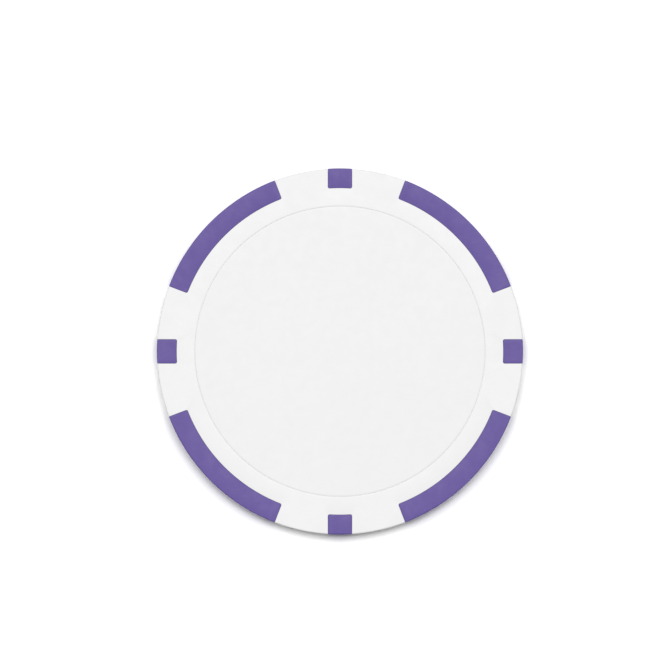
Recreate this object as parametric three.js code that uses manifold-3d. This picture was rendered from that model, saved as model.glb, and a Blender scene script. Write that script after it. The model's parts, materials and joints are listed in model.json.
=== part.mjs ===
// A casino poker chip: two welded half-shells hold a steel weight slug and eight edge inserts,
// and a label lies in a shallow recess in each face.
//
// Millimetres and degrees. +Z is the axis of the chip and +Y is the top of its front face.
// The origin is the centre of the back face, so the chip lies on the plane z = 0.

import * as THREE from "three";
import { mergeVertices } from "three/addons/utils/BufferGeometryUtils.js";
import Module from "manifold-3d";

const wasm = await Module();
wasm.setup();

// Chip
const CHIP_RADIUS = 19.5;
const CHIP_THICKNESS = 3.3;
const MID_PLANE = CHIP_THICKNESS / 2;
const EDGE_ROUND = 0.15; // rounding of both outer edges
const PARTING_CHAMFER = 0.06; // each half of the V-groove where the shells meet

// Labels
const RECESS_RADIUS = 15.48;
const RECESS_DEPTH = 0.2;
const LABEL_RADIUS = 15.45;
const LABEL_THICKNESS = 0.15;
const GLUE_LINE = 0.02; // under the label

// Edge inserts
const INSERT_INNER_RADIUS = 17.4;
const INSERT_CORNER = 0.18;
const LONG_INSERT_ANGLE = 48.2; // between the two radial ends of a long insert
const SHORT_INSERT_WIDTH = 2.56; // between the two parallel sides of a short insert
const SEAM_GAP = 0.03; // between an insert and its slot

// The anchor is a T-shaped rail on the inside of an insert, trapped between the shells.
const ANCHOR_INNER_RADIUS = 16.45;
const ANCHOR_NECK_RADIUS = 16.95;
const ANCHOR_HEAD_THICKNESS = 1.2;
const ANCHOR_NECK_THICKNESS = 0.6;
const ANCHOR_END_MARGIN = 1.3; // degrees by which a rail stops short of each end of its insert

// Weight slug and the weld posts that pass through it
const SLUG_RADIUS = 15.35;
const SLUG_THICKNESS = 1.56;
const SLUG_CLEARANCE = 0.05; // to every side of the pocket
const POST_COUNT = 6;
const POST_CIRCLE_RADIUS = 9.5;
const POST_RADIUS = 1.3;
const POST_CLEARANCE = 0.15; // to the sides of the slug's holes
const SOCKET_DEPTH = 0.3;
const SOCKET_CLEARANCE = 0.03; // to the sides of a post
const SOCKET_END_GAP = 0.05;

// Facets, the steps in degrees
const CIRCLE_SEGMENTS = 96;
const ARC_STEP = 360 / CIRCLE_SEGMENTS;
const CORNER_STEP = 30;
const POST_SEGMENTS = 16;

// Overlaps that a finished piece doesn't show
const PAST_THE_EDGE = 1; // a blank runs this far past the surface that it is cut to
const JOIN_OVERLAP = 0.25; // a joined shape starts this deep inside the one that carries it

const radians = THREE.MathUtils.degToRad;

// Points along an arc about a centre, from one angle to another, both in degrees.
function arc(centre, radius, from, to, step) {
  const count = Math.max(1, Math.ceil(Math.abs(to - from) / step));
  return Array.from({ length: count + 1 }, (_, i) => {
    const angle = radians(from + ((to - from) * i) / count);
    return new THREE.Vector2(
      centre.x + radius * Math.cos(angle),
      centre.y + radius * Math.sin(angle),
    );
  });
}

const ORIGIN = new THREE.Vector2(0, 0);

// A solid of revolution about Z from a list of [radius, z] points.
function revolve(profile) {
  const points = profile.map(([r, z]) => new THREE.Vector2(r, z));
  return new THREE.LatheGeometry(points, CIRCLE_SEGMENTS).rotateX(Math.PI / 2);
}

// A flat outline given height along Z, from low to high. A round hole in it has twice as many
// segments as curveSegments says.
function prism(shape, low, high) {
  const settings = { depth: high - low, bevelEnabled: false, curveSegments: POST_SEGMENTS / 2 };
  return new THREE.ExtrudeGeometry(shape, settings).translate(0, 0, low);
}

// A plate that is centred on the mid-plane.
function midPlate(shape, thickness) {
  return prism(shape, MID_PLANE - thickness / 2, MID_PLANE + thickness / 2);
}

function solidOf(geometry) {
  const bare = geometry.clone();
  bare.deleteAttribute("normal");
  bare.deleteAttribute("uv");
  const merged = mergeVertices(bare);
  return new wasm.Manifold(
    new wasm.Mesh({
      numProp: 3,
      vertProperties: merged.attributes.position.array,
      triVerts: new Uint32Array(merged.index.array),
    }),
  );
}

function geometryOf(solid) {
  const mesh = solid.getMesh();
  const position = new THREE.BufferAttribute(mesh.vertProperties, mesh.numProp);
  const geometry = new THREE.BufferGeometry();
  geometry.setAttribute("position", position);
  geometry.setIndex(new THREE.BufferAttribute(mesh.triVerts, 1));
  geometry.computeVertexNormals();
  return geometry;
}

// The outside of the whole chip, from the middle of its back to the middle of its front.
function chipEnvelope() {
  const flat = CHIP_RADIUS - EDGE_ROUND;
  const lower = arc({ x: flat, y: EDGE_ROUND }, EDGE_ROUND, -90, 0, CORNER_STEP);
  const upper = arc({ x: flat, y: CHIP_THICKNESS - EDGE_ROUND }, EDGE_ROUND, 0, 90, CORNER_STEP);
  const edge = [...lower, ...upper].map((point) => point.toArray());
  return revolve([[0, 0], ...edge, [0, CHIP_THICKNESS]]);
}

// One half-shell before its slots are cut: label recess above, slug pocket below.
function shellBlank() {
  const pocketRadius = SLUG_RADIUS + SLUG_CLEARANCE;
  const pocketTop = MID_PLANE + SLUG_THICKNESS / 2 + SLUG_CLEARANCE;
  const recessFloor = CHIP_THICKNESS - RECESS_DEPTH;
  const roundCentre = { x: CHIP_RADIUS - EDGE_ROUND, y: CHIP_THICKNESS - EDGE_ROUND };
  const rounding = arc(roundCentre, EDGE_ROUND, 0, 90, CORNER_STEP).map((p) => p.toArray());
  return revolve([
    [0, pocketTop],
    [pocketRadius, pocketTop],
    [pocketRadius, MID_PLANE],
    [CHIP_RADIUS - PARTING_CHAMFER, MID_PLANE],
    [CHIP_RADIUS, MID_PLANE + PARTING_CHAMFER],
    ...rounding,
    [RECESS_RADIUS, CHIP_THICKNESS],
    [RECESS_RADIUS, recessFloor],
    [0, recessFloor],
  ]);
}

// The plan of an insert that is centred on +X: straight sides that run past the edge of the chip,
// and an inner side that follows a circle, joined by rounded corners.
// Each side stands halfWidth off the ray at halfAngle, and growth moves the whole outline outwards.
function insertPlan({ halfAngle, halfWidth }, growth) {
  const along = new THREE.Vector2(1, 0).rotateAround(ORIGIN, radians(halfAngle));
  const across = new THREE.Vector2(0, 1).rotateAround(ORIGIN, radians(halfAngle));
  const cornerCentreRadius = INSERT_INNER_RADIUS + INSERT_CORNER;
  const cornerOffset = halfWidth - INSERT_CORNER;
  const cornerReach = Math.sqrt(cornerCentreRadius ** 2 - cornerOffset ** 2);
  const onSide = (reach, offset) =>
    along.clone().multiplyScalar(reach).addScaledVector(across, offset);

  const centre = onSide(cornerReach, cornerOffset);
  const centreAngle = THREE.MathUtils.radToDeg(centre.angle());
  const end = onSide(CHIP_RADIUS + PAST_THE_EDGE, halfWidth + growth);
  const corner = arc(
    centre,
    INSERT_CORNER + growth,
    90 + halfAngle,
    180 + centreAngle,
    CORNER_STEP,
  );
  const upperHalf = [end, ...corner];
  const innerArc = arc(
    ORIGIN,
    INSERT_INNER_RADIUS - growth,
    centreAngle,
    -centreAngle,
    ARC_STEP,
  ).slice(1, -1);
  const lowerHalf = upperHalf.map((p) => new THREE.Vector2(p.x, -p.y)).reverse();
  const endAngle = THREE.MathUtils.radToDeg(end.angle());
  const outerArc = arc(ORIGIN, end.length(), -endAngle, endAngle, ARC_STEP).slice(1, -1);
  return new THREE.Shape([...upperHalf, ...innerArc, ...lowerHalf, ...outerArc]);
}

// A sector of a ring, centred on +X.
function sector(inner, outer, halfAngle) {
  return new THREE.Shape([
    ...arc(ORIGIN, outer, -halfAngle, halfAngle, ARC_STEP),
    ...arc(ORIGIN, inner, halfAngle, -halfAngle, ARC_STEP),
  ]);
}

// The T-shaped rail of an insert: a neck that starts inside the insert, and a thicker head.
function anchor(kind, growth) {
  const growthAngle = THREE.MathUtils.radToDeg(growth / ANCHOR_INNER_RADIUS);
  const halfAngle = kind.anchorHalfAngle + growthAngle;
  const root = INSERT_INNER_RADIUS + INSERT_CORNER;
  const neck = sector(ANCHOR_NECK_RADIUS - JOIN_OVERLAP, root, halfAngle);
  const head = sector(ANCHOR_INNER_RADIUS - growth, ANCHOR_NECK_RADIUS + growth, halfAngle);
  return solidOf(midPlate(neck, ANCHOR_NECK_THICKNESS + 2 * growth)).add(
    solidOf(midPlate(head, ANCHOR_HEAD_THICKNESS + 2 * growth)),
  );
}

// Everything an insert takes up, as a blank that runs past the chip on every open side.
function insertBlank(kind, growth) {
  const body = prism(insertPlan(kind, growth), -PAST_THE_EDGE, CHIP_THICKNESS + PAST_THE_EDGE);
  return solidOf(body).add(anchor(kind, growth));
}

const longHalfAngle = LONG_INSERT_ANGLE / 2;
const shortHalfAngle = THREE.MathUtils.radToDeg(SHORT_INSERT_WIDTH / 2 / INSERT_INNER_RADIUS);
const LONG_INSERT = {
  halfAngle: longHalfAngle,
  halfWidth: 0,
  anchorHalfAngle: longHalfAngle - ANCHOR_END_MARGIN,
};
const SHORT_INSERT = {
  halfAngle: 0,
  halfWidth: SHORT_INSERT_WIDTH / 2,
  anchorHalfAngle: shortHalfAngle - ANCHOR_END_MARGIN,
};

// Where each insert sits, as degrees from +X, named by compass with north at +Y.
const INSERTS = [
  { name: "short_insert_east", kind: SHORT_INSERT, bearing: 0 },
  { name: "long_insert_north_east", kind: LONG_INSERT, bearing: 45 },
  { name: "short_insert_north", kind: SHORT_INSERT, bearing: 90 },
  { name: "long_insert_north_west", kind: LONG_INSERT, bearing: 135 },
  { name: "short_insert_west", kind: SHORT_INSERT, bearing: 180 },
  { name: "long_insert_south_west", kind: LONG_INSERT, bearing: 225 },
  { name: "short_insert_south", kind: SHORT_INSERT, bearing: 270 },
  { name: "long_insert_south_east", kind: LONG_INSERT, bearing: 315 },
];

function insertGeometry(kind) {
  return geometryOf(insertBlank(kind, 0).intersect(solidOf(chipEnvelope())));
}

// The centres of the weld posts, as points on a circle about the axis.
function postCentres() {
  const step = 360 / POST_COUNT;
  return arc(ORIGIN, POST_CIRCLE_RADIUS, 0, 360 - step, step);
}

// A round bar along Z at each post centre.
function posts(radius, low, high) {
  return postCentres().map((centre) =>
    solidOf(
      new THREE.CylinderGeometry(radius, radius, high - low, POST_SEGMENTS)
        .rotateX(Math.PI / 2)
        .translate(centre.x, centre.y, (low + high) / 2),
    ),
  );
}

// A half-shell with its eight slots, as the front half of the chip.
function slottedShell() {
  return INSERTS.reduce((shell, { kind, bearing }) => {
    const slot = geometryOf(insertBlank(kind, SEAM_GAP)).rotateZ(radians(bearing));
    return shell.subtract(solidOf(slot));
  }, solidOf(shellBlank()));
}

const pocketFloor = MID_PLANE - SLUG_THICKNESS / 2 - SLUG_CLEARANCE;
const pocketCeiling = CHIP_THICKNESS - pocketFloor;

// The front shell carries the posts, which reach into the sockets of the back shell.
function frontShellGeometry() {
  const root = pocketCeiling + JOIN_OVERLAP;
  const tip = pocketFloor - SOCKET_DEPTH + SOCKET_END_GAP;
  const shell = posts(POST_RADIUS, tip, root).reduce((s, post) => s.add(post), slottedShell());
  return geometryOf(shell);
}

// The back shell is made as a front half too, and turned over when it is placed.
function backShellGeometry() {
  const radius = POST_RADIUS + SOCKET_CLEARANCE;
  const sockets = posts(radius, MID_PLANE, pocketCeiling + SOCKET_DEPTH);
  return geometryOf(sockets.reduce((s, socket) => s.subtract(socket), slottedShell()));
}

function slugGeometry() {
  const disc = new THREE.Shape(arc(ORIGIN, SLUG_RADIUS, 0, 360 - ARC_STEP, ARC_STEP));
  disc.holes = postCentres().map((centre) =>
    new THREE.Path().absarc(centre.x, centre.y, POST_RADIUS + POST_CLEARANCE, 0, 2 * Math.PI),
  );
  return midPlate(disc, SLUG_THICKNESS);
}

function labelGeometry() {
  const low = CHIP_THICKNESS - RECESS_DEPTH + GLUE_LINE;
  const high = low + LABEL_THICKNESS;
  return revolve([
    [0, low],
    [LABEL_RADIUS, low],
    [LABEL_RADIUS, high],
    [0, high],
  ]);
}

const bodyPlastic = new THREE.MeshStandardMaterial({
  color: 0xf4f4f4,
  roughness: 0.5,
  metalness: 0,
});
const insertPlastic = new THREE.MeshStandardMaterial({
  color: 0x7264a2,
  roughness: 0.5,
  metalness: 0,
});
const labelVinyl = new THREE.MeshStandardMaterial({
  color: 0xf2f2f2,
  roughness: 0.35,
  metalness: 0,
});
const slugSteel = new THREE.MeshStandardMaterial({
  color: 0x9a9da1,
  roughness: 0.35,
  metalness: 1,
});

function piece(name, geometry, material) {
  const mesh = new THREE.Mesh(geometry, material);
  mesh.name = name;
  return mesh;
}

const front = new THREE.Group();
front.add(piece("front_shell", frontShellGeometry(), bodyPlastic));
front.add(piece("front_label", labelGeometry(), labelVinyl));

// The back half is built like the front and turned over about the chip's X axis.
const back = new THREE.Group();
back.rotation.x = Math.PI;
back.position.z = CHIP_THICKNESS;
back.add(piece("back_shell", backShellGeometry(), bodyPlastic));
back.add(piece("back_label", labelGeometry(), labelVinyl));

const edge = new THREE.Group();
const insertShapes = new Map(
  [LONG_INSERT, SHORT_INSERT].map((kind) => [kind, insertGeometry(kind)]),
);
for (const { name, kind, bearing } of INSERTS) {
  const insert = piece(name, insertShapes.get(kind), insertPlastic);
  insert.rotation.z = radians(bearing);
  edge.add(insert);
}

const chip = new THREE.Group();
chip.add(front, back, edge, piece("weight_slug", slugGeometry(), slugSteel));

export default chip;
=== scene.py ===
"""A casino poker chip lying on a white floor, seen from straight above.

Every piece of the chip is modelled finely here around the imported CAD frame, and takes its CAD
node's place. Shapes are built in millimetres and scaled to metres when a piece is made. Points in
the plane of the chip are complex numbers, x + yj.
"""

import cmath
import json
import math

import bmesh
import bpy
from mathutils import Matrix, Vector


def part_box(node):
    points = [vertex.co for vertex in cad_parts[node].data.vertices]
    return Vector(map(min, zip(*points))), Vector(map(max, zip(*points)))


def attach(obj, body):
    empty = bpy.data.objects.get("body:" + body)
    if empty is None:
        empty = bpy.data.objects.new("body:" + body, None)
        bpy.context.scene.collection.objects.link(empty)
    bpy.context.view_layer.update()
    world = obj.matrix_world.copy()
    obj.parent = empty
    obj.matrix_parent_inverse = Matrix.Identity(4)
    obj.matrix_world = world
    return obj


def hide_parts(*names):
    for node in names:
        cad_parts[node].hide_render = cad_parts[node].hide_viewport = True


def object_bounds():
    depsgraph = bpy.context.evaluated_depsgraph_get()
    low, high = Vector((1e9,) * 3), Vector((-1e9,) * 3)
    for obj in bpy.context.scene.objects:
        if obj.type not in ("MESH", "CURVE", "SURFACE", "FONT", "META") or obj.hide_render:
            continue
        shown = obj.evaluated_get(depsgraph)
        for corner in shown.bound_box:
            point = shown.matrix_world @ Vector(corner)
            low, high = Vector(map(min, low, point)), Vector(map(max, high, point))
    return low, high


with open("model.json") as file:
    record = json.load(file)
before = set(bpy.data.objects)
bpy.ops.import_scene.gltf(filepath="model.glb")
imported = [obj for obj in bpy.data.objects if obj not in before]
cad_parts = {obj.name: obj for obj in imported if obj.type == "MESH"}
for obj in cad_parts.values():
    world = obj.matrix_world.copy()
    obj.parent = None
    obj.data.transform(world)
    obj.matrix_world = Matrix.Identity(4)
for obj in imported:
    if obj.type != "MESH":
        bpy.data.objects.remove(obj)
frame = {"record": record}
cad_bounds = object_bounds()

SLOTS = {part["node"]: part["material_slot"] for part in frame["record"]["subparts"]}
PIECE_SUFFIX = "_fine"
METRE = 1000.0  # in millimetres


def box_mm(node):
    """The lowest and the highest corner of a CAD node, in millimetres."""
    low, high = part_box(node)
    return low * METRE, high * METRE


# Sizes that the frame gives, in millimetres
CHIP_RADIUS = cad_bounds[1].x * METRE
CHIP_THICKNESS = cad_bounds[1].z * METRE
MID_PLANE = CHIP_THICKNESS / 2
LABEL_LOW, LABEL_HIGH = box_mm("front_label")
SLUG_HIGH = box_mm("weight_slug")[1]
SLUG_RADIUS = SLUG_HIGH.x
SHORT_INSERT_WIDTH = 2 * box_mm("short_insert_east")[1].y
POST_TIP = box_mm("front_shell")[0].z

# Sizes of the moulding, in millimetres and radians
EDGE_ROUND = 0.15
PARTING_ROUND = 0.06
SEAM_ROUND = 0.03
SEAM_GAP = 0.012
RECESS_RADIUS = 15.48
RECESS_DEPTH = 0.2
RECESS_FILLET = 0.03
LABEL_GAP = 0.007
SHOULDER_WIDTH = 0.18
SHOULDER_SLOPE = math.radians(20)
INSERT_INNER_RADIUS = 17.4
INSERT_CORNER = 0.18
LONG_INSERT_ANGLE = math.radians(48.2)
RAIL_INNER_RADIUS = 16.45
RAIL_NECK_RADIUS = 16.95
RAIL_ROOT_RADIUS = 17.6
RAIL_HEAD_THICKNESS = 1.2
RAIL_NECK_THICKNESS = 0.6
RAIL_END_MARGIN = math.radians(1.3)
SLUG_CLEARANCE = 0.05
SLUG_EDGE_ROUND = 0.12
POST_COUNT = 6
POST_CIRCLE_RADIUS = 9.5
POST_RADIUS = 1.3
POST_TIP_ROUND = 0.1
POST_CLEARANCE = 0.15
SOCKET_DEPTH = 0.3
SOCKET_CLEARANCE = 0.03

LABEL_LINE_RADIUS = (LABEL_HIGH.x + RECESS_RADIUS) / 2

# Facets
FACET_ANGLE = math.radians(1)
EDGE_STEPS = 8
CORNER_STEPS = 6
POST_STEPS = 48
SHARP_ANGLE = math.radians(40)
SLIVER = 0.001  # millimetres, far below the smallest facet
QUAD_CORNERS = 4

QUARTER_TURN = math.pi / 2
HALF_TURN = math.pi
FULL_TURN = 2 * math.pi


# Outlines in the plane of the chip


def arc(centre, radius, start, end, steps):
    """Points from one angle to another about a centre, both ends included."""
    angles = [start + (end - start) * i / steps for i in range(steps + 1)]
    return [centre + cmath.rect(radius, angle) for angle in angles]


def circle(radius, centre=0, steps=round(FULL_TURN / FACET_ANGLE)):
    """A closed ring of points, with the first one not repeated."""
    return arc(centre, radius, 0, FULL_TURN, steps)[:-1]


def turned(points, angle):
    return [p * cmath.rect(1, angle) for p in points]


def mirrored(points):
    """The points on the other side of the X axis, in the order that keeps an outline going."""
    return [p.conjugate() for p in reversed(points)]


class InsertKind:
    """An insert centred on +X. Each side stands half_width off the ray at half_angle."""

    def __init__(self, half_angle, half_width):
        self.half_angle = half_angle
        self.half_width = half_width
        self.reach_angle = half_angle + half_width / INSERT_INNER_RADIUS
        self.rail_half_angle = self.reach_angle - RAIL_END_MARGIN
        self.half_arc_steps = round(self.reach_angle / FACET_ANGLE)
        self.corner_centre = self.beside_side(
            INSERT_INNER_RADIUS + INSERT_CORNER, -INSERT_CORNER
        )

    def beside_side(self, radius, offset):
        """The point at a radius from the axis that stands offset outside the upper side."""
        across = self.half_width + offset
        return cmath.rect(1, self.half_angle) * complex(math.sqrt(radius**2 - across**2), across)

    def inner_half(self, growth):
        """From the middle of the inner side to the straight part of the upper side."""
        angle = cmath.phase(self.corner_centre)
        side = arc(0, INSERT_INNER_RADIUS - growth, 0, angle, self.half_arc_steps)
        corner = arc(
            self.corner_centre,
            INSERT_CORNER + growth,
            angle + HALF_TURN,
            self.half_angle + QUARTER_TURN,
            CORNER_STEPS,
        )
        return side + corner[1:]

    def insert_outline(self, outer_radius, growth):
        """Anticlockwise round the insert, with small rounds where it meets the chip's edge."""
        centre = self.beside_side(outer_radius - SEAM_ROUND, growth - SEAM_ROUND)
        angle = cmath.phase(centre)
        outer = arc(0, outer_radius, 0, angle, self.half_arc_steps)
        corner = arc(centre, SEAM_ROUND, angle, self.half_angle + QUARTER_TURN, CORNER_STEPS)
        upper = outer + corner[1:] + self.inner_half(growth)[::-1]
        return upper + mirrored(upper)[1:-1]

    def notch_outline(self, outer_radius, growth):
        """Anticlockwise past the notch that holds the insert, from one corner to the other."""
        centre = self.beside_side(outer_radius - SEAM_ROUND, growth + SEAM_ROUND)
        start = self.half_angle - QUARTER_TURN
        corner = arc(centre, SEAM_ROUND, start, cmath.phase(centre), CORNER_STEPS)
        upper = self.inner_half(growth) + corner
        return mirrored(upper)[:-1] + upper


LONG_INSERT = InsertKind(LONG_INSERT_ANGLE / 2, 0)
SHORT_INSERT = InsertKind(0, SHORT_INSERT_WIDTH / 2)

# Anticlockwise from +X
INSERTS = (
    ("short_insert_east", SHORT_INSERT),
    ("long_insert_north_east", LONG_INSERT),
    ("short_insert_north", SHORT_INSERT),
    ("long_insert_north_west", LONG_INSERT),
    ("short_insert_west", SHORT_INSERT),
    ("long_insert_south_west", LONG_INSERT),
    ("short_insert_south", SHORT_INSERT),
    ("long_insert_south_east", LONG_INSERT),
)
INSERT_PITCH = FULL_TURN / len(INSERTS)


def shell_outline(outer_radius, growth):
    """The chip's circle with a notch for each insert."""
    notches = [
        turned(kind.notch_outline(outer_radius, growth), i * INSERT_PITCH)
        for i, (_, kind) in enumerate(INSERTS)
    ]
    gap_angle = INSERT_PITCH - LONG_INSERT.reach_angle - SHORT_INSERT.reach_angle
    points = []
    for notch, following in zip(notches, notches[1:] + notches[:1]):
        start = cmath.phase(notch[-1])
        end = start + cmath.phase(following[0] / notch[-1])
        points += notch
        points += arc(0, outer_radius, start, end, round(gap_angle / FACET_ANGLE))[1:-1]
    return points


# Profiles: how a wall pulls in as it nears the front face


def quarter_round(radius, steps):
    """Pairs of the distance below the top and the distance pulled in, from the wall to the top."""
    angles = [QUARTER_TURN * i / steps for i in range(steps + 1)]
    return [(radius * (1 - math.sin(a)), radius * (1 - math.cos(a))) for a in angles]


def seam_pull(depth):
    """How far a seam's edge is rounded back at a depth below the face."""
    rise = max(0.0, SEAM_ROUND - depth)
    return SEAM_ROUND - math.sqrt(SEAM_ROUND**2 - rise**2)


def shoulder():
    """Like quarter_round, for the gentle round that runs down to the line between label and rim."""
    radius = SHOULDER_WIDTH / math.sin(SHOULDER_SLOPE)
    angles = [SHOULDER_SLOPE * (1 - i / CORNER_STEPS) for i in range(CORNER_STEPS + 1)]
    return [(radius * (1 - math.cos(a)), SHOULDER_WIDTH - radius * math.sin(a)) for a in angles]


def edge_levels():
    """The chip's outer edge from its wall to the front face: height, radius and seam rounding."""
    return [
        (CHIP_THICKNESS - depth, CHIP_RADIUS - pull, seam_pull(depth))
        for depth, pull in quarter_round(EDGE_ROUND, EDGE_STEPS)
    ]


# Solids


class Solid:
    """A closed mesh in millimetres, made of rings of points, walls between them and flat caps."""

    def __init__(self):
        self.mesh = bmesh.new()

    def ring(self, points, z):
        return [self.mesh.verts.new((p.real, p.imag, z)) for p in points]

    def wall(self, rings):
        """Joins each ring to the next, and returns the last one."""
        for one, other in zip(rings, rings[1:]):
            for i in range(len(one)):
                self.mesh.faces.new((one[i - 1], one[i], other[i], other[i - 1]))
        return rings[-1]

    def cap(self, *rings):
        """Fills the flat region inside the first ring and outside the others."""
        edges = [
            self.mesh.edges.get((ring[i - 1], ring[i])) for ring in rings for i in range(len(ring))
        ]
        bmesh.ops.triangle_fill(self.mesh, use_beauty=True, edges=edges)

    def place(self, name):
        """Turns the mesh into an object in the scene, still in millimetres."""
        bmesh.ops.recalc_face_normals(self.mesh, faces=self.mesh.faces)
        data = bpy.data.meshes.new(name)
        self.mesh.to_mesh(data)
        self.mesh.free()
        placed = bpy.data.objects.new(name, data)
        bpy.context.scene.collection.objects.link(placed)
        return placed


def clean_cut(data):
    """Closes the hair-thin faces that a boolean leaves, and splits up its many-sided ones."""
    mesh = bmesh.new()
    mesh.from_mesh(data)
    bmesh.ops.remove_doubles(mesh, verts=mesh.verts, dist=SLIVER)
    bmesh.ops.dissolve_degenerate(mesh, edges=mesh.edges, dist=SLIVER)
    many_sided = [face for face in mesh.faces if len(face.verts) > QUAD_CORNERS]
    bmesh.ops.triangulate(mesh, faces=many_sided)
    mesh.to_mesh(data)
    mesh.free()


def combined(piece, tool, operation):
    """The piece joined with the tool or cut by it. The tool is used up."""
    modifier = piece.modifiers.new("combine", "BOOLEAN")
    modifier.object = tool
    modifier.operation = operation
    modifier.solver = "EXACT"
    graph = bpy.context.evaluated_depsgraph_get()
    piece.data = bpy.data.meshes.new_from_object(piece.evaluated_get(graph))
    piece.modifiers.clear()
    bpy.data.objects.remove(tool)
    clean_cut(piece.data)
    return piece


def turned_over():
    """Takes a piece of the front half to the same place on the back half."""
    return Matrix.Translation((0, 0, CHIP_THICKNESS)) @ Matrix.Rotation(HALF_TURN, 4, "X")


def finish_piece(piece, name, placing=Matrix.Identity(4)):
    """Gives a solid its place, its material and its CAD node's part in the frame."""
    slot = SLOTS[name]
    piece.name = name + PIECE_SUFFIX
    piece.data.name = piece.name
    piece.data.transform(Matrix.Scale(1 / METRE, 4) @ placing)
    piece.data.materials.clear()
    piece.data.materials.append(FINISHES[slot])
    piece.data.shade_smooth()
    piece.data.set_sharp_from_angle(angle=SHARP_ANGLE)
    weighted = piece.modifiers.new("weighted normals", "WEIGHTED_NORMAL")
    weighted.keep_sharp = True
    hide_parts(name)
    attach(piece, "root")


def add_rail(solid, kind, growth, bearing=0):
    """The T-shaped rail behind an insert, swept about the chip's axis."""
    inner = RAIL_INNER_RADIUS - growth
    neck = RAIL_NECK_RADIUS + growth
    head_half = RAIL_HEAD_THICKNESS / 2 + growth
    neck_half = RAIL_NECK_THICKNESS / 2 + growth
    upper = [
        (inner, head_half),
        (neck, head_half),
        (neck, neck_half),
        (RAIL_ROOT_RADIUS, neck_half),
    ]
    section = upper + [(radius, -height) for radius, height in reversed(upper)]
    reach = kind.rail_half_angle + growth / RAIL_INNER_RADIUS

    rings = []
    for direction in arc(0, 1, bearing - reach, bearing + reach, kind.half_arc_steps * 2):
        points = [(direction * radius, MID_PLANE + height) for radius, height in section]
        rings.append([solid.mesh.verts.new((p.real, p.imag, z)) for p, z in points])
    solid.wall(rings)
    solid.mesh.faces.new(rings[0])
    solid.mesh.faces.new(rings[-1])


def insert(kind):
    """An edge insert centred on +X, through the chip's whole thickness."""
    upper = edge_levels()
    lower = [(CHIP_THICKNESS - z, radius, pull) for z, radius, pull in reversed(upper)]
    solid = Solid()
    rings = [
        solid.ring(kind.insert_outline(radius, -pull), z) for z, radius, pull in lower + upper
    ]
    solid.wall(rings)
    solid.cap(rings[0])
    solid.cap(rings[-1])
    rail = Solid()
    add_rail(rail, kind, 0)
    return combined(solid.place("insert"), rail.place("rail"), "UNION")


def column_centres():
    """Where the weld posts, their sockets and the slug's holes are."""
    return [cmath.rect(POST_CIRCLE_RADIUS, FULL_TURN * i / POST_COUNT) for i in range(POST_COUNT)]


def shell_outside(solid):
    """The shell's outer wall with its notches. Returns the rings at the mid-plane and the face."""
    parting = [
        (MID_PLANE + depth, CHIP_RADIUS - pull, 0.0)
        for depth, pull in reversed(quarter_round(PARTING_ROUND, CORNER_STEPS))
    ]
    rings = [
        solid.ring(shell_outline(radius, SEAM_GAP + pull), z)
        for z, radius, pull in parting + edge_levels()
    ]
    solid.wall(rings)
    return rings[0], rings[-1]


def shell_recess(solid):
    """The label recess, from its rounded brim to its floor. Returns the ring at the face."""
    floor = CHIP_THICKNESS - RECESS_DEPTH
    wall = LABEL_LINE_RADIUS + LABEL_GAP / 2
    brim = [
        solid.ring(circle(wall + pull), CHIP_THICKNESS - depth)
        for depth, pull in reversed(shoulder())
    ]
    foot = [
        solid.ring(circle(wall - pull), floor + depth)
        for depth, pull in quarter_round(RECESS_FILLET, CORNER_STEPS)
    ]
    solid.cap(solid.wall(brim + foot))
    return brim[0]


def shell_pocket(solid, columns):
    """The slug's pocket, with columns that stand on its ceiling. Returns the mid-plane ring."""
    ceiling = SLUG_HIGH.z + SLUG_CLEARANCE
    outline = circle(SLUG_RADIUS + SLUG_CLEARANCE)
    mouth = solid.ring(outline, MID_PLANE)
    top = solid.ring(outline, ceiling)
    solid.wall([mouth, top])
    roots = []
    for centre in column_centres():
        rings = [
            solid.ring(circle(radius, centre, POST_STEPS), z) for radius, z in columns(ceiling)
        ]
        solid.cap(solid.wall(rings))
        roots.append(rings[0])
    solid.cap(top, *roots)
    return mouth


def post_levels(ceiling):
    """Radius and height down a weld post of the front shell, which goes past the mid-plane."""
    tip = [
        (POST_RADIUS - pull, POST_TIP + depth)
        for depth, pull in quarter_round(POST_TIP_ROUND, CORNER_STEPS)
    ]
    return [(POST_RADIUS, ceiling)] + tip


def socket_levels(ceiling):
    """Radius and height up a socket of the back shell, which takes the end of a post."""
    radius = POST_RADIUS + SOCKET_CLEARANCE
    return [(radius, ceiling), (radius, ceiling + SOCKET_DEPTH)]


def shell(columns):
    """A half-shell, built as the front half, with posts or sockets as its columns."""
    solid = Solid()
    outer_edge, face_edge = shell_outside(solid)
    solid.cap(face_edge, shell_recess(solid))
    solid.cap(outer_edge, shell_pocket(solid, columns))
    slots = Solid()
    for i, (_, kind) in enumerate(INSERTS):
        add_rail(slots, kind, SEAM_GAP, i * INSERT_PITCH)
    return combined(solid.place("shell"), slots.place("slots"), "DIFFERENCE")


def label():
    """A thin disc in the front recess, with a rounded upper edge."""
    solid = Solid()
    side = LABEL_LINE_RADIUS - LABEL_GAP / 2
    levels = [(LABEL_LOW.z, side)]
    levels += [(LABEL_HIGH.z - depth, side - pull) for depth, pull in shoulder()]
    rings = [solid.ring(circle(radius), z) for z, radius in levels]
    solid.wall(rings)
    solid.cap(rings[0])
    solid.cap(rings[-1])
    return solid.place("label")


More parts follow.
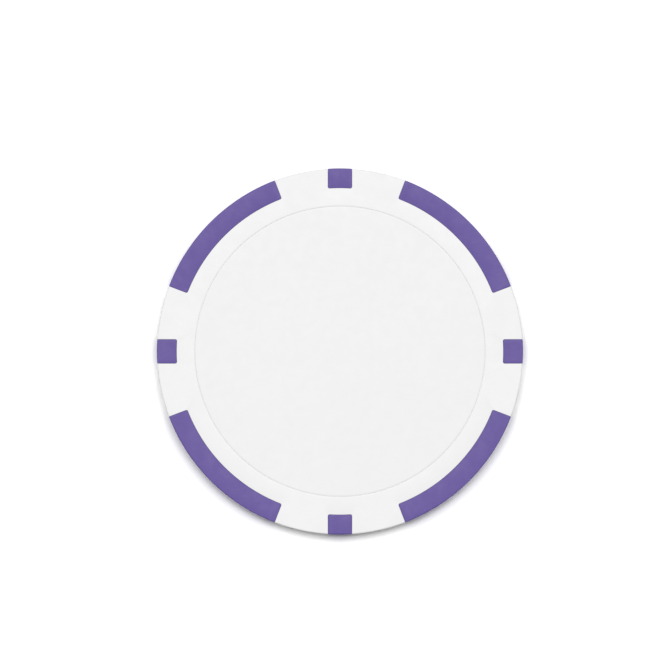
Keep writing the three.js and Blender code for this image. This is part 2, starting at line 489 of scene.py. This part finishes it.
def slug():
    """A stamped disc with a hole for each post, rounded at every edge."""
    edge = quarter_round(SLUG_EDGE_ROUND, CORNER_STEPS)
    upper = [(SLUG_HIGH.z - depth, pull) for depth, pull in edge]
    levels = [(CHIP_THICKNESS - z, pull) for z, pull in reversed(upper)] + upper
    hole = POST_RADIUS + POST_CLEARANCE
    solid = Solid()
    sides = [[solid.ring(circle(SLUG_RADIUS - pull), z) for z, pull in levels]]
    for centre in column_centres():
        sides.append([solid.ring(circle(hole + pull, centre, POST_STEPS), z) for z, pull in levels])
    for rings in sides:
        solid.wall(rings)
    solid.cap(*[rings[0] for rings in sides])
    solid.cap(*[rings[-1] for rings in sides])
    return solid.place("slug")


# Materials

IN_PLANE = (1, 1, 0)  # keeps only the part of a vector that lies in the chip's plane

# Sockets of the mix node that share their names with others, by number
MIX_SHARE = 0
MIX_FIRST = 6
MIX_SECOND = 7
MIX_RESULT = 2


class Shader:
    """Adds nodes to a new material. An input takes a value or another node's output."""

    def __init__(self, name):
        self.material = bpy.data.materials.new(name)
        self.material.use_nodes = True
        self.tree = self.material.node_tree
        self.surface = self.tree.nodes["Principled BSDF"]

    def node(self, kind, inputs, **settings):
        """A new node of a kind, with its inputs fed and its settings made."""
        node = self.tree.nodes.new(kind)
        for name, value in settings.items():
            setattr(node, name, value)
        self.feed(node, inputs)
        return node

    def feed(self, node, inputs):
        """Sets inputs, which are named or numbered, to values or links them to outputs."""
        for name, value in inputs.items():
            if isinstance(value, bpy.types.NodeSocket):
                self.tree.links.new(value, node.inputs[name])
            else:
                node.inputs[name].default_value = value

    def place(self):
        """Where a point is in the chip's own frame, in metres."""
        return self.node("ShaderNodeTexCoord", {}).outputs["Object"]

    def noise(self, place, size, detail, roughness):
        """Smooth noise from 0 to 1 whose blotches are about size millimetres across."""
        inputs = {"Vector": place, "Scale": METRE / size, "Detail": detail, "Roughness": roughness}
        return self.node("ShaderNodeTexNoise", inputs).outputs["Fac"]

    def maths(self, operation, first, second=0.0):
        """The result of a maths node, whose inputs all have the same name."""
        return self.node("ShaderNodeMath", {0: first, 1: second}, operation=operation).outputs[0]

    def ramp(self, value, low, high, start=0.0, end=1.0):
        """Value from low to high becomes start to end, with a soft beginning and end."""
        inputs = {"Value": value, "From Min": low, "From Max": high, "To Min": start, "To Max": end}
        node = self.node("ShaderNodeMapRange", inputs, interpolation_type="SMOOTHSTEP")
        return node.outputs["Result"]

    def mix(self, share, first, second):
        """The first colour where share is 0, the second one where it is 1."""
        inputs = {MIX_SHARE: share, MIX_FIRST: first, MIX_SECOND: second}
        return self.node("ShaderNodeMix", inputs, data_type="RGBA").outputs[MIX_RESULT]

    def streaked(self, place, direction, length):
        """A place whose noise is length times as long along a direction as it is across it."""
        inputs = {"Vector": place, "Rotation": (0, 0, direction), "Scale": (length, 1, 1)}
        mapping = self.node("ShaderNodeMapping", inputs, vector_type="TEXTURE")
        return mapping.outputs["Vector"]

    def bump(self, height, depth):
        """Relief whose height input of 0 to 1 stands for depth millimetres."""
        inputs = {"Height": height, "Distance": depth / METRE, "Strength": 1.0}
        return self.node("ShaderNodeBump", inputs).outputs["Normal"]

    def finish(self, colour, roughness, normal, sheen):
        """Feeds the surface and returns the material."""
        inputs = {"Base Color": colour, "Roughness": roughness, "Normal": normal}
        self.feed(self.surface, inputs | {"Specular IOR Level": sheen})
        return self.material


# Linear colours: main tone, mottled tone and, for plastic, the tone of rubbed edges
WHITE_TONES = (0.782, 0.782, 0.782, 1), (0.774, 0.774, 0.774, 1), (0.747, 0.747, 0.744, 1)
PURPLE_TONES = (0.110, 0.072, 0.289, 1), (0.107, 0.069, 0.283, 1), (0.126, 0.088, 0.302, 1)
VINYL_TONES = (0.750, 0.750, 0.750, 1), (0.745, 0.745, 0.745, 1)
STEEL_TONES = (0.40, 0.41, 0.43, 1), (0.33, 0.33, 0.34, 1)

# Specular levels
SOFT_SHEEN = 0.3
STEEL_SHEEN = 0.5

# Noises: the size of a blotch in millimetres, then the noise node's detail and roughness
FLOW_MARKS = 5.0, 3.0, 0.5
GRAIN = 0.16, 2.0, 0.6
HANDLING = 1.6, 4.0, 0.65
PEEL = 0.9, 2.0, 0.5
PRINT_PATCHES = 7.0, 2.0, 0.5
SCUFFS = 0.12, 1.0, 0.5
ROLLING_MARKS = 0.1, 4.0, 0.7
STAINS = 4.0, 4.0, 0.5

# The ranges over which a noise of 0 to 1 turns from none to all
PATCHES = 0.3, 0.7
STREAKS = 0.72, 0.80

# Moulded plastic. Lengths are in millimetres, and a roughness is the lowest and the highest.
HANDLING_RELIEF = 0.6  # of the grain's
PLASTIC_RELIEF = 0.016
PLASTIC_ROUGHNESS = 0.50, 0.58
RUB_POLISH = 0.14  # off the roughness
RUB_REACH = 0.25
RUB_FULL = 0.05

# Label vinyl, likewise
SCUFF_LENGTH = 25.0  # times the width
SCUFF_DIRECTIONS = 0.4, 1.5, 2.6  # radians from +X
SCUFF_RELIEF = 0.15  # of the peel's
SCUFF_ROUGHENING = 0.08  # on top of the roughness
VINYL_RELIEF = 0.003
VINYL_ROUGHNESS = 0.44, 0.49

# Rolled steel, likewise
ROLLING_MARK_LENGTH = 30.0  # times the width
STEEL_RELIEF = 0.004
STEEL_ROUGHNESS = 0.28, 0.44


def handled_edges(shader, place):
    """1 on the chip's two outer edges, where hands and other chips rub, and 0 a hair away."""
    flat = shader.node("ShaderNodeVectorMath", {0: place, 1: IN_PLANE}, operation="MULTIPLY")
    radius = shader.node("ShaderNodeVectorMath", {0: flat.outputs[0]}, operation="LENGTH")
    height = shader.node("ShaderNodeSeparateXYZ", {0: place}).outputs["Z"]
    from_middle = shader.maths("ABSOLUTE", shader.maths("SUBTRACT", height, MID_PLANE / METRE))

    def near(value, limit):
        """From 0 at RUB_REACH inside the limit to 1 at RUB_FULL inside it."""
        return shader.ramp(value, (limit - RUB_REACH) / METRE, (limit - RUB_FULL) / METRE)

    return shader.maths(
        "MULTIPLY", near(radius.outputs["Value"], CHIP_RADIUS), near(from_middle, MID_PLANE)
    )


def moulded_plastic(name, tone, mottled, rubbed_tone):
    """Satin moulded plastic: fine spark-eroded grain, faint flow marks and rubbed edges."""
    shader = Shader(name)
    place = shader.place()
    flow = shader.noise(place, *FLOW_MARKS)
    grain = shader.noise(place, *GRAIN)
    handling = shader.noise(place, *HANDLING)
    rubbed = shader.maths("MULTIPLY", handled_edges(shader, place), shader.ramp(handling, *PATCHES))

    colour = shader.mix(shader.ramp(flow, *PATCHES), tone, mottled)
    colour = shader.mix(rubbed, colour, rubbed_tone)
    roughness = shader.ramp(handling, *PATCHES, *PLASTIC_ROUGHNESS)
    polish = shader.maths("MULTIPLY", rubbed, RUB_POLISH)
    roughness = shader.maths("SUBTRACT", roughness, polish)
    relief = shader.maths("ADD", grain, shader.maths("MULTIPLY", handling, HANDLING_RELIEF))
    return shader.finish(colour, roughness, shader.bump(relief, PLASTIC_RELIEF), SOFT_SHEEN)


def vinyl(name, tone, mottled):
    """Smooth label vinyl with a slight orange peel and hairline scuffs."""
    shader = Shader(name)
    place = shader.place()
    peel = shader.noise(place, *PEEL)
    patches = shader.noise(place, *PRINT_PATCHES)
    scuffs = 0.0
    for direction in SCUFF_DIRECTIONS:
        along = shader.streaked(place, direction, SCUFF_LENGTH)
        streak = shader.noise(along, *SCUFFS)
        scuffs = shader.maths("MAXIMUM", shader.ramp(streak, *STREAKS), scuffs)

    colour = shader.mix(shader.ramp(patches, *PATCHES), tone, mottled)
    roughness = shader.ramp(peel, *PATCHES, *VINYL_ROUGHNESS)
    roughening = shader.maths("MULTIPLY", scuffs, SCUFF_ROUGHENING)
    roughness = shader.maths("ADD", roughness, roughening)
    relief = shader.maths("SUBTRACT", peel, shader.maths("MULTIPLY", scuffs, SCUFF_RELIEF))
    return shader.finish(colour, roughness, shader.bump(relief, VINYL_RELIEF), SOFT_SHEEN)


def stamped_steel(name, tone, stained):
    """Rolled sheet steel, with rolling marks along one direction."""
    shader = Shader(name)
    place = shader.place()
    along = shader.streaked(place, 0, ROLLING_MARK_LENGTH)
    marks = shader.noise(along, *ROLLING_MARKS)
    stain = shader.noise(place, *STAINS)

    colour = shader.mix(shader.ramp(stain, *PATCHES), tone, stained)
    roughness = shader.ramp(marks, *PATCHES, *STEEL_ROUGHNESS)
    shader.feed(shader.surface, {"Metallic": 1.0})
    return shader.finish(colour, roughness, shader.bump(marks, STEEL_RELIEF), STEEL_SHEEN)


# The material of each slot in the record
FINISHES = {
    "body": moulded_plastic("white plastic", *WHITE_TONES),
    "insert": moulded_plastic("purple plastic", *PURPLE_TONES),
    "label": vinyl("label vinyl", *VINYL_TONES),
    "slug": stamped_steel("stamped steel", *STEEL_TONES),
}


# The chip

finish_piece(shell(post_levels), "front_shell")
finish_piece(shell(socket_levels), "back_shell", turned_over())
finish_piece(label(), "front_label")
finish_piece(label(), "back_label", turned_over())
finish_piece(slug(), "weight_slug")
for number, (insert_name, insert_kind) in enumerate(INSERTS):
    finish_piece(insert(insert_kind), insert_name, Matrix.Rotation(number * INSERT_PITCH, 4, "Z"))


# The studio

FLOOR_HALF_WIDTH = 3.0  # metres
FLOOR_COLOUR = (0.967, 0.967, 0.967, 1)
LIGHT_COLOUR = (1, 1, 1, 1)
# A pair of lamps: tilt off the vertical, bearing to either side of the picture's top and spread,
# all in degrees, and the strength of each
MAIN_LAMPS = 15, 35, 18, 1.345
SIDE_LAMPS = 12, 65, 8, 0.182
DOME_STRENGTH = 0.18
BACKDROP_STRENGTH = 1.1
LENS = 200.0  # millimetres
SENSOR = 36.0  # millimetres
CHIP_SHARE = 0.5467  # of the picture's width that the chip takes up
CHIP_OFFSET = Vector((0.0074, -0.0245))  # of the chip from the picture's centre, in widths


def add_floor():
    """A plain matt sheet under the chip."""
    shader = Shader("floor")
    matt = {"Base Color": FLOOR_COLOUR, "Roughness": 1.0, "Specular IOR Level": 0.0}
    shader.feed(shader.surface, matt)
    half = FLOOR_HALF_WIDTH
    corners = [(-half, -half, 0), (half, -half, 0), (half, half, 0), (-half, half, 0)]
    data = bpy.data.meshes.new("floor")
    data.from_pydata(corners, [], [(0, 1, 2, 3)])
    data.materials.append(shader.material)
    floor = bpy.data.objects.new("floor", data)
    bpy.context.scene.collection.objects.link(floor)


def add_lamps(tilt, bearing, spread, strength):
    """A pair of high lamps towards the top of the picture, which leave a narrow shadow below."""
    for side in (bearing, -bearing):
        light = bpy.data.lights.new("lamp", "SUN")
        light.energy = strength
        light.angle = math.radians(spread)
        lamp = bpy.data.objects.new("lamp", light)
        turn = Matrix.Rotation(math.radians(side), 4, "Z")
        lamp.matrix_world = turn @ Matrix.Rotation(-math.radians(tilt), 4, "X")
        bpy.context.scene.collection.objects.link(lamp)


def add_dome():
    """Even light from all round. The camera itself sees a white backdrop."""
    world = bpy.data.worlds.new("studio")
    world.use_nodes = True
    tree = world.node_tree
    dome = tree.nodes["Background"]
    dome.inputs["Strength"].default_value = DOME_STRENGTH
    dome.inputs["Color"].default_value = LIGHT_COLOUR
    backdrop = tree.nodes.new("ShaderNodeBackground")
    backdrop.inputs["Strength"].default_value = BACKDROP_STRENGTH
    backdrop.inputs["Color"].default_value = LIGHT_COLOUR
    seen = tree.nodes.new("ShaderNodeLightPath")
    either = tree.nodes.new("ShaderNodeMixShader")
    tree.links.new(seen.outputs["Is Camera Ray"], either.inputs[0])
    tree.links.new(dome.outputs[0], either.inputs[1])
    tree.links.new(backdrop.outputs[0], either.inputs[2])
    tree.links.new(either.outputs[0], tree.nodes["World Output"].inputs["Surface"])
    bpy.context.scene.world = world


def add_camera():
    """Straight above the chip, far enough off to take in the picture's width at its face."""
    chip_width = 2 * CHIP_RADIUS / METRE
    width = chip_width / CHIP_SHARE
    data = bpy.data.cameras.new("camera")
    data.lens = LENS
    data.sensor_width = SENSOR
    camera = bpy.data.objects.new("camera", data)
    across = -CHIP_OFFSET * width
    camera.location = (across.x, across.y, CHIP_THICKNESS / METRE + width * LENS / SENSOR)
    bpy.context.scene.collection.objects.link(camera)
    bpy.context.scene.camera = camera


add_floor()
add_lamps(*MAIN_LAMPS)
add_lamps(*SIDE_LAMPS)
add_dome()
add_camera()
bpy.context.scene.view_settings.view_transform = "Standard"
